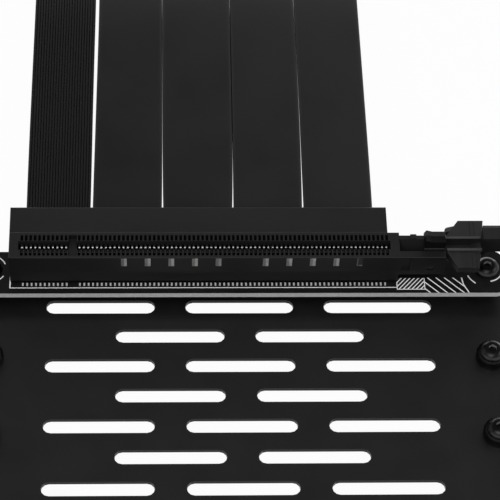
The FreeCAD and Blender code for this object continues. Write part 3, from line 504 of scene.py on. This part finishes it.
def hatching(x, y):
    """Two hatched fields: a dense box, and sparse lines as far as a slanting edge."""
    box = within(x, BOX_LEFT, BOX_RIGHT) * within(y, BOX_FRONT, BOX_REAR)
    dense = (x * DENSE_PITCH - y + 0.085) % DENSE_PITCH < DENSE_STROKE
    sides = (x > BOX_RIGHT - STROKE) + (x < BOX_LEFT + STROKE) * (y < 2.4)
    rim = (y < BOX_FRONT + STROKE) + sides
    bound = x.math("MAXIMUM", 51.767 - y * 0.1725, 52.337 - y * 0.4954)
    lines = (x + y * 1.046 - 0.03) % SPARSE_PITCH < SPARSE_STROKE
    sparse = (x > BOX_RIGHT) * (bound > x) * lines
    edge = within(x - bound, -0.15, 0.15)
    return box * dense + box * rim + (sparse + edge) * within(y, -0.55, 3.6)


def board_print(made):
    """The white print on the board's upper side."""
    x, y = made.x, made.y
    front_line = within(x, OUTLINE_LEFT, BOX_LEFT) * within(y, 0.83, 1.04)
    left_line = within(x, OUTLINE_LEFT, OUTLINE_LEFT + 0.28) * within(y, 1.0, 9.0)
    wide = ring(made, 1, WIDE_RING) * (x < 54.3) * (y < 4.2)
    narrow = ring(made, 1, NARROW_RING) * (x > 57.8) * (y < 4.3)
    left = ring(made, -1, NARROW_RING) * ((y > 7.5) + (y < 4.3))
    white = front_line + left_line + hatching(x, y) + wide + narrow + left
    return white * (made.z > BOARD_TOP - MASK_DEPTH)


def board_finish():
    made = Finish("masked_board", Specular_IOR_Level=0.3)
    weave = made.noise(1100.0, 2.0)
    white = board_print(made)
    cut = within(made.z, BOARD_TOP - BOARD_THICKNESS + MASK_DEPTH, BOARD_TOP - MASK_DEPTH)
    mask = made.mix(weave, grey(0.003), grey(0.006))
    laminate = made.mix(weave, grey(0.62), grey(0.85))
    printed = made.mix(white, mask, grey(0.92))
    gilded = (made.x + 0.02) % FINGER_PITCH < FINGER_WIDTH
    fingers = gilded * within(made.y, FINGERS_FROM, FINGERS_TO)
    made.link(
        Base_Color=made.mix(fingers, made.mix(cut, printed, laminate), GILT),
        Roughness=made.spread(weave, 0.32, 0.44),
        Metallic=fingers,
    )
    return made.material


mask_finish = board_finish()
print("board finish:", mask_finish.name)

# %% [markdown]
# ## From a bmesh to a piece
# Every new piece is made in a bmesh, shaded smooth with its sharp edges kept, given its finish, and
# then tied to the body that carries it. Weighted normals keep the large flat faces flat, so that only
# the small bevels between them turn the light. A piece that stands for a CAD node hides that node.
# Some operators leave their faces in another order on each run, so a bmesh is first sorted by place.

# %% Piece helper
def settle(bm):
    """Sort the vertices and faces by their places, so that every run writes the same mesh."""
    for i, vert in enumerate(sorted(bm.verts, key=lambda vert: vert.co[:])):
        vert.index = i
    by_corners = sorted(bm.faces, key=lambda face: sorted(vert.index for vert in face.verts))
    for i, face in enumerate(by_corners):
        face.index = i
    bm.verts.sort()
    bm.faces.sort()


def piece(bm, name, finish, nodes=(), body="mount", crease=32):
    """Make a bmesh a named piece of the mount."""
    settle(bm)
    mesh = bpy.data.meshes.new(name)
    bm.to_mesh(mesh)
    bm.free()
    mesh.shade_smooth()
    mesh.set_sharp_from_angle(angle=math.radians(crease))
    mesh.materials.append(finish)
    made = bpy.data.objects.new(name, mesh)
    bpy.context.scene.collection.objects.link(made)
    even = made.modifiers.new("even_normals", "WEIGHTED_NORMAL")
    even.keep_sharp = True
    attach(made, body)
    if nodes:
        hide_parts(*nodes)
    print("piece", name, len(mesh.polygons), "faces")
    return made


def new_verts(made):
    """The vertices among what an operator made."""
    return [part for part in made["geom"] if isinstance(part, bmesh.types.BMVert)]


print("piece helper ready")

# %% [markdown]
# ## The edges of a ribbon
# All five ribbons follow one route: straight back from the cover, over, down to the ground and into
# the plug. Seen from above, the film ribbons spread a little once they are clear of the cover, so the
# gaps between them close one after another. Two smooth NURBS splines therefore carry the left and the
# right edge of each ribbon, and the ribbon is whatever lies between them.

# %% Ribbon edges
RUN = ((17.35, 25.0), (28.0, 24.97), (56.0, 24.9), (89.0, 24.7))
BEND = (
    (103.0, 18.6), (113.5, 6.9), (126.0, 1.1), (146.0, 0.76), (159.0, 1.5), (166.5, 4.0), (173.0, 4.0),
)
EDGES = (
    ((-49.1, -34.42), (-49.15, -34.33), (-49.0, -34.25), (-48.75, -33.95)),
    ((-33.9, -17.9), (-33.81, -17.745), (-33.45, -17.715), (-33.1, -17.665)),
    ((-17.53, -1.64), (-17.685, -1.2), (-17.705, -1.01), (-17.665, -1.0)),
    ((-1.3, 14.66), (-1.2, 14.91), (-1.01, 15.077), (-1.0, 14.77)),
    ((15.01, 31.05), (14.99, 31.12), (15.085, 30.9), (14.77, 30.65)),
)


def edge_points(edges, side):
    """Control points of one edge: along the run as seen, then as wide as at the cover."""
    pairs = edges + edges[:1] * len(BEND)
    return [field(pair[side], *spot) for pair, spot in zip(pairs, RUN + BEND)]


def smooth_line(points):
    """Points along the NURBS spline of a route."""
    curve = bpy.data.curves.new("route", "CURVE")
    curve.dimensions = "3D"
    spline = curve.splines.new("NURBS")
    spline.points.add(len(points) - 1)
    for knot, spot in zip(spline.points, points):
        knot.co = (*spot, 1.0)
    spline.order_u = 3
    spline.use_endpoint_u = True
    spline.resolution_u = 8
    holder = bpy.data.objects.new("route", curve)
    mesh = bpy.data.meshes.new_from_object(holder)
    line = [vertex.co.copy() for vertex in mesh.vertices]
    bpy.data.objects.remove(holder)
    bpy.data.curves.remove(curve)
    bpy.data.meshes.remove(mesh)
    return line


ribbon_edges = [[smooth_line(edge_points(edges, side)) for side in (0, 1)] for edges in EDGES]
print("ribbon edges", len(ribbon_edges), "pairs of", len(ribbon_edges[0][0]), "points")

# %% [markdown]
# ## Carrying a section along a line
# A ribbon is its cross-section carried along the line. The section's edges are extruded again and
# again, and each new ring is moved on to the next station. Its width stays level, and it only tips
# with the slope of the line.

# %% Sweep helper
def stations(line, spans=None):
    """A place, a direction and a width for the section at every point of a line."""
    found = []
    for i, spot in enumerate(line):
        before, after = line[max(i - 1, 0)], line[min(i + 1, len(line) - 1)]
        along = (after - before).normalized()
        up = Vector((1, 0, 0)).cross(along).normalized()
        turn = Matrix((along.cross(up), along, up)).transposed().to_4x4()
        span = Matrix.Diagonal((spans[i] if spans else 1.0, 1.0, 1.0, 1.0))
        found.append(Matrix.Translation(spot) @ turn @ span)
    return found


def sweep(bm, places):
    """Extrude the edges of the bmesh's section from place to place, and close both ends."""
    bmesh.ops.transform(bm, matrix=places[0], verts=bm.verts)
    loop = list(bm.edges)
    for before, after in zip(places, places[1:]):
        made = bmesh.ops.extrude_edge_only(bm, edges=loop)
        verts = new_verts(made)
        fresh = set(verts)
        loop = [
            part for part in made["geom"]
            if isinstance(part, bmesh.types.BMEdge) and fresh.issuperset(part.verts)
        ]
        bmesh.ops.transform(bm, matrix=after @ before.inverted(), verts=verts)
    bmesh.ops.holes_fill(bm, edges=bm.edges)
    bmesh.ops.recalc_face_normals(bm, faces=bm.faces)


print("sweep helper ready")

# %% [markdown]
# ## The five ribbons
# The first one shows its wires: twenty-three round strands, bonded side by side. Each film ribbon is
# a thin strip with rounded edges and a slight crown, because the wires inside fill its middle. Both
# sections are drawn one unit wide; the stations give them their real width.

# %% Ribbons
WIRES = 23
RIBBON_THICKNESS = 1.4 * MM
WIRE_OVERLAP, WIRE_HEIGHT = 1.18, 0.6
FILM_EDGE, FILM_CROWN, FILM_HEIGHT = 0.16, 0.7, 0.48
FILM_MIDDLE = 0.05


def stand_up(bm):
    """Turn a section drawn flat so that it stands across the line."""
    bmesh.ops.rotate(bm, matrix=Matrix.Rotation(math.pi / 2, 3, "X"), verts=bm.verts)
    return bm


def wire_section():
    """Circles side by side, one for each wire."""
    bm = bmesh.new()
    for i in range(WIRES):
        made = bmesh.ops.create_circle(bm, segments=10, radius=0.5)
        size = (WIRE_OVERLAP / WIRES, RIBBON_THICKNESS * WIRE_HEIGHT, 1.0)
        bmesh.ops.scale(bm, vec=size, verts=made["verts"])
        bmesh.ops.translate(bm, vec=((i + 0.5) / WIRES - 0.5, 0, 0), verts=made["verts"])
    return stand_up(bm)


def bulged(value, power):
    """A value from -1 to 1 raised to a power, with its sign kept."""
    return math.copysign(abs(value) ** power, value)


def film_section():
    """A thin strip with round edges and a little crown."""
    bm = bmesh.new()
    bmesh.ops.create_circle(bm, segments=32, radius=0.5)
    for vertex in bm.verts:
        across, up = vertex.co.x * 2, vertex.co.y * 2
        if abs(across) > FILM_MIDDLE:
            vertex.co.x = bulged(across, FILM_EDGE) / 2
        vertex.co.y = bulged(up, FILM_CROWN) * RIBBON_THICKNESS * FILM_HEIGHT
    return stand_up(bm)


for i, (left, right) in enumerate(ribbon_edges, start=1):
    middle = [(a + b) / 2 for a, b in zip(left, right)]
    spans = [(b - a).length for a, b in zip(left, right)]
    bm = wire_section() if i == 1 else film_section()
    sweep(bm, stations(middle, spans))
    finish, slot = (insulation, "ribbon_ridged") if i == 1 else (film, "ribbon_film")
    made = piece(bm, f"ribbon_{i}_strip", finish, [f"ribbon_{i}"])
    print("ribbon", i, "width", round(spans[0] * 1000, 2), "to", round(max(spans) * 1000, 2), "mm")

# %% [markdown]
# ## Softening the moulded and folded solids
# No real edge is perfectly sharp: powder coat rounds a fold and a mould rounds a plastic corner. A
# copy of the CAD mesh is welded, its flat triangles are merged into whole faces, and the longer
# sharp edges get a small bevel that catches a line of light.

# %% Softened solids
SHARP = math.radians(40)
FLAT = math.radians(0.5)


def welded(node):
    """A copy of a CAD node as one closed mesh with whole flat faces."""
    bm = bmesh.new()
    bm.from_mesh(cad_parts[node].data)
    bmesh.ops.remove_doubles(bm, verts=bm.verts, dist=1e-6)
    bmesh.ops.dissolve_limit(bm, angle_limit=FLAT, verts=bm.verts, edges=bm.edges)
    return bm


def bevel(bm, edges, radius, segments):
    """Round some edges to a radius in millimetres."""
    bmesh.ops.bevel(
        bm, geom=edges, offset=radius * MM, offset_type="OFFSET", affect="EDGES",
        segments=segments, profile=0.5, material=-1, clamp_overlap=True,
    )


def soften(bm, radius, shortest):
    """Round the sharp outer edges that are longer than a length, all in millimetres."""
    sharp = [
        edge for edge in bm.edges
        if edge.is_manifold and edge.calc_face_angle_signed() > SHARP
        and edge.calc_length() > shortest * MM
    ]
    bevel(bm, sharp, radius, segments=2)
    return bm


piece(soften(welded("base_plate"), 0.12, 2.0), "vented_plate", coat, ["base_plate"])
piece(soften(welded("io_panel"), 0.15, 2.0), "bracket_panel", coat, ["io_panel"])
piece(
    soften(welded("slot_housing"), 0.08, 3.0), "slot_shell", slot_plastic,
    ["slot_housing"], crease=5,
)
piece(
    soften(welded("ribbon_cover"), 0.12, 3.0), "cover_shell", cover_plastic,
    ["ribbon_cover"],
)

# %% [markdown]
# ## The latch and its lug
# The latch is softened in the same way, but the lug on its far wing is shaped first. An edge is drawn
# across the lug's top between its two roots, the outer points of the top are lowered, and the two
# upright corners get a wide bevel, so that the lug slopes down from the wing to a round end.

# %% Latch
LUG_END = 46.87
LUG_SIDE = 3.0
LUG_DROP, LUG_ROUND = 0.8, 0.66


def round_lug(bm):
    """Slope the lug on the latch's far wing down from the wing's slanted edge, and round its end."""
    end, side, top = field(LUG_END, SLOT_LINE + LUG_SIDE, SLOT_TOP + 0.3)
    corners = [
        edge for edge in bm.edges
        if abs(edge.verts[0].co.z - edge.verts[1].co.z) > edge.calc_length() * 0.99
        and edge.verts[0].co.x < end and edge.verts[0].co.y > side
    ]
    tips = [vert for edge in corners for vert in edge.verts if vert.co.z > top]
    beside = [edge.other_vert(tip) for tip in tips for edge in tip.link_edges]
    roots = [vert for vert in beside if vert.co.z > top and vert not in tips]
    bmesh.ops.connect_verts(bm, verts=roots)
    bmesh.ops.translate(bm, vec=(0, 0, -LUG_DROP * MM), verts=tips)
    bevel(bm, corners, LUG_ROUND, segments=5)
    print("lug corners rounded:", len(corners), "top points lowered:", len(tips))
    return bm


piece(
    soften(round_lug(welded("latch_lever")), 0.12, 0.8), "latch_moulding", latch_plastic,
    ["latch_lever"], body="latch",
)

# %% [markdown]
# ## Finishes on the solids that stay
# The spacers, both boards, the plug's covers, the ground tabs and the panel's screws are already the
# right shape. Their meshes stay as they are, and only their finish is new.

# %% Finishes on solids
for node, finish in (
    ("board_spacers", nylon), ("riser_board", mask_finish), ("plug_board", mask_finish),
    ("plug_cover_upper", cover_plastic), ("plug_cover_lower", cover_plastic),
    ("slot_ground_tabs", nickel), ("panel_screws", oxide),
):
    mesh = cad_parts[node].data
    mesh.materials.clear()
    mesh.materials.append(finish)
    print("finish on", node, finish.name)

# %% [markdown]
# ## The button-head screws
# A button head is turned to a low dome and has a hexagon socket. The dome is a short profile spun
# about the axis; its last ring is bridged to a hexagon, which is then pushed down to form the socket.

# %% Screws
SHANK_RADIUS = 1.45
HEAD = (
    (HEAD_RADIUS, 0.0), (HEAD_RADIUS, 0.35), (2.62, 0.85), (2.2, 1.3), (1.75, 1.58),
    (1.3, HEAD_HEIGHT),
)


def lathe(bm, spots, steps):
    """Spin a profile of radii and heights, in metres, about the z axis."""
    verts = [bm.verts.new((radius, 0, height)) for radius, height in spots]
    edges = [bm.edges.new(pair) for pair in zip(verts, verts[1:])]
    bmesh.ops.spin(
        bm, geom=verts + edges, cent=(0, 0, 0), axis=(0, 0, 1), angle=math.tau, steps=steps,
        use_merge=True, use_duplicate=False,
    )


def button_screw(shank):
    """One screw about the origin, its head's underside at z = 0."""
    bm = bmesh.new()
    spots = ((SHANK_RADIUS, -shank), (SHANK_RADIUS, 0.0), *HEAD)
    lathe(bm, [(radius * MM, height * MM) for radius, height in spots], steps=24)
    top = [edge for edge in bm.edges if edge.is_boundary and min(v.co.z for v in edge.verts) > 0]
    socket = bmesh.ops.create_circle(bm, segments=6, radius=SOCKET_RADIUS * MM)
    bmesh.ops.translate(bm, vec=(0, 0, HEAD_HEIGHT * MM), verts=socket["verts"])
    rim = [edge for edge in bm.edges if edge.is_wire]
    bmesh.ops.bridge_loops(bm, edges=top + rim)
    sunk = bmesh.ops.extrude_edge_only(bm, edges=rim)
    bmesh.ops.translate(bm, vec=(0, 0, -SOCKET_DEPTH * MM), verts=new_verts(sunk))
    bmesh.ops.holes_fill(bm, edges=bm.edges)
    bmesh.ops.remove_doubles(bm, verts=bm.verts, dist=1e-7)
    bmesh.ops.recalc_face_normals(bm, faces=bm.faces)
    return bm


def repeat(bm, moves):
    """Copy all that a bmesh holds, once for each move."""
    first = list(bm.verts) + list(bm.edges) + list(bm.faces)
    for move in moves:
        copy = bmesh.ops.duplicate(bm, geom=first)
        bmesh.ops.translate(bm, vec=move, verts=new_verts(copy))


def screw_set(name, shank, spots, nodes):
    """Copies of a screw at their places, as one piece."""
    bm = button_screw(shank)
    repeat(bm, [spot - spots[0] for spot in spots[1:]])
    bmesh.ops.translate(bm, vec=spots[0], verts=bm.verts)
    piece(bm, name, oxide, nodes)


SIDES = (-SCREW_SIDE, SCREW_SIDE)
spare_spots = [field(x, SCREW_LINE - SCREW_PITCH * row, BOSS_TOP) for row in (1, 2) for x in SIDES]
board_spots = [field(x, SCREW_LINE, BOARD_TOP) for x in SIDES]
screw_set("spare_button_screws", 5.0, spare_spots, ["spare_screws"])
screw_set("board_button_screws", 9.0, board_spots, ["board_screws"])

# %% [markdown]
# ## The spring contacts
# Each contact is stamped from thin strip: a tail soldered to the board, a leg that leans in to touch
# the card, and a tip that curls back into its window. One strip is extruded along its bends, then
# copied along the slot with the gap of the key left out.

# %% Contacts
FIRST_COLUMN = -49.63
KEY = (11, 12)
COLUMNS = [FIRST_COLUMN + i for i in range(84) if i not in KEY]
STRIP_WIDTH, STRIP_THICKNESS = 0.38, 0.2
BENDS = (
    (4.97, 0.12), (2.9, 0.12), (2.45, 0.4), (0.95, 6.2), (0.6, 6.95), (0.55, 7.25),
    (0.92, 7.5), (1.42, 7.9), (1.5, 8.6),
)


def contact_row(name, side, node):
    """One row of bent strips; side is -1 in front of the card and 1 behind it."""
    bm = bmesh.new()
    made = bmesh.ops.create_grid(bm, x_segments=1, y_segments=1, size=0.5 * MM)
    bmesh.ops.scale(bm, vec=(STRIP_WIDTH, STRIP_THICKNESS, 1.0), verts=made["verts"])
    bmesh.ops.delete(bm, geom=bm.faces, context="FACES_ONLY")
    bends = [field(FIRST_COLUMN, SLOT_LINE + side * out, BOARD_TOP + up) for out, up in BENDS]
    sweep(stand_up(bm), stations(bends))
    repeat(bm, [((column - FIRST_COLUMN) * MM, 0, 0) for column in COLUMNS[1:]])
    piece(bm, name, contact_finish, [node], crease=20)


contact_row("front_contact_comb", -1, "slot_contacts_front")
contact_row("rear_contact_comb", 1, "slot_contacts_rear")

# %% [markdown]
# ## Floor, backdrop and light
# The mount lies on a white table in a studio cove. The cove shows white to the camera and to shiny
# surfaces, and keeps a little of its own shading, so the mount still drops a soft shadow. Softboxes
# in front and at the sides light the black parts. Above the cove's wall the world is a dim grey, so
# that level black faces mirror little.

# %% Studio
COVE = ((0.0, 0.0), (1.9, 0.0), (2.2, 0.08), (2.4, 0.3), (2.5, 0.7), (2.5, 1.7))
FLOOR_DROP = 0.2 * MM
WHITE_SHARE = 0.97
WORLD_GREY = 0.23
AIM = Vector((0, 0.03, 0.02))


def cove_finish():
    """White to the camera and in reflections, and paper that keeps a shadow for the rest."""
    made = bpy.data.materials.new("white_cove")
    made.use_nodes = True
    tree = made.node_tree
    start = Shade(tree)
    ray = start.node("ShaderNodeLightPath", {}, {})
    seen = ray.out("Is Camera Ray") + ray.out("Is Glossy Ray") + ray.out("Is Transmission Ray")
    paper = start.node("ShaderNodeBsdfDiffuse", {}, {"Color": grey(0.8)})
    glow = start.node("ShaderNodeEmission", {}, {"Color": grey(1.0), "Strength": 1.0})
    both = start.node("ShaderNodeMixShader", {}, {0: seen * WHITE_SHARE, 1: paper, 2: glow})
    tree.links.new(both.socket, tree.nodes["Material Output"].inputs["Surface"])
    return made


def cove():
    """A round floor whose edge turns up into a wall."""
    bm = bmesh.new()
    lathe(bm, COVE, steps=64)
    bmesh.ops.remove_doubles(bm, verts=bm.verts, dist=1e-6)
    bmesh.ops.translate(bm, vec=(0, 0, -FLOOR_DROP), verts=bm.verts)
    mesh = bpy.data.meshes.new("studio_cove")
    bm.to_mesh(mesh)
    bm.free()
    mesh.shade_smooth()
    mesh.materials.append(cove_finish())
    made = bpy.data.objects.new("studio_cove", mesh)
    bpy.context.scene.collection.objects.link(made)


def softbox(name, spot, size, power):
    """A square lamp that faces the mount."""
    lamp = bpy.data.lights.new(name, "AREA")
    lamp.shape = "SQUARE"
    lamp.size = size
    lamp.energy = power
    made = bpy.data.objects.new(name, lamp)
    made.location = spot
    made.rotation_euler = (AIM - Vector(spot)).to_track_quat("-Z", "Y").to_euler()
    bpy.context.scene.collection.objects.link(made)


cove()
softbox("front_softbox", (-0.2, -0.65, 1.05), size=0.7, power=6.0)
softbox("top_softbox", (0.1, -0.25, 1.25), size=0.5, power=1.5)
softbox("left_softbox", (-1.0, 0.1, 0.6), size=0.5, power=0.8)
softbox("right_softbox", (1.0, 0.0, 0.6), size=0.5, power=2.4)
world = bpy.data.worlds.new("studio")
world.use_nodes = True
world.node_tree.nodes["Background"].inputs["Color"].default_value = grey(WORLD_GREY)
bpy.context.scene.world = world
bpy.context.scene.view_settings.view_transform = "Standard"
print("studio ready")
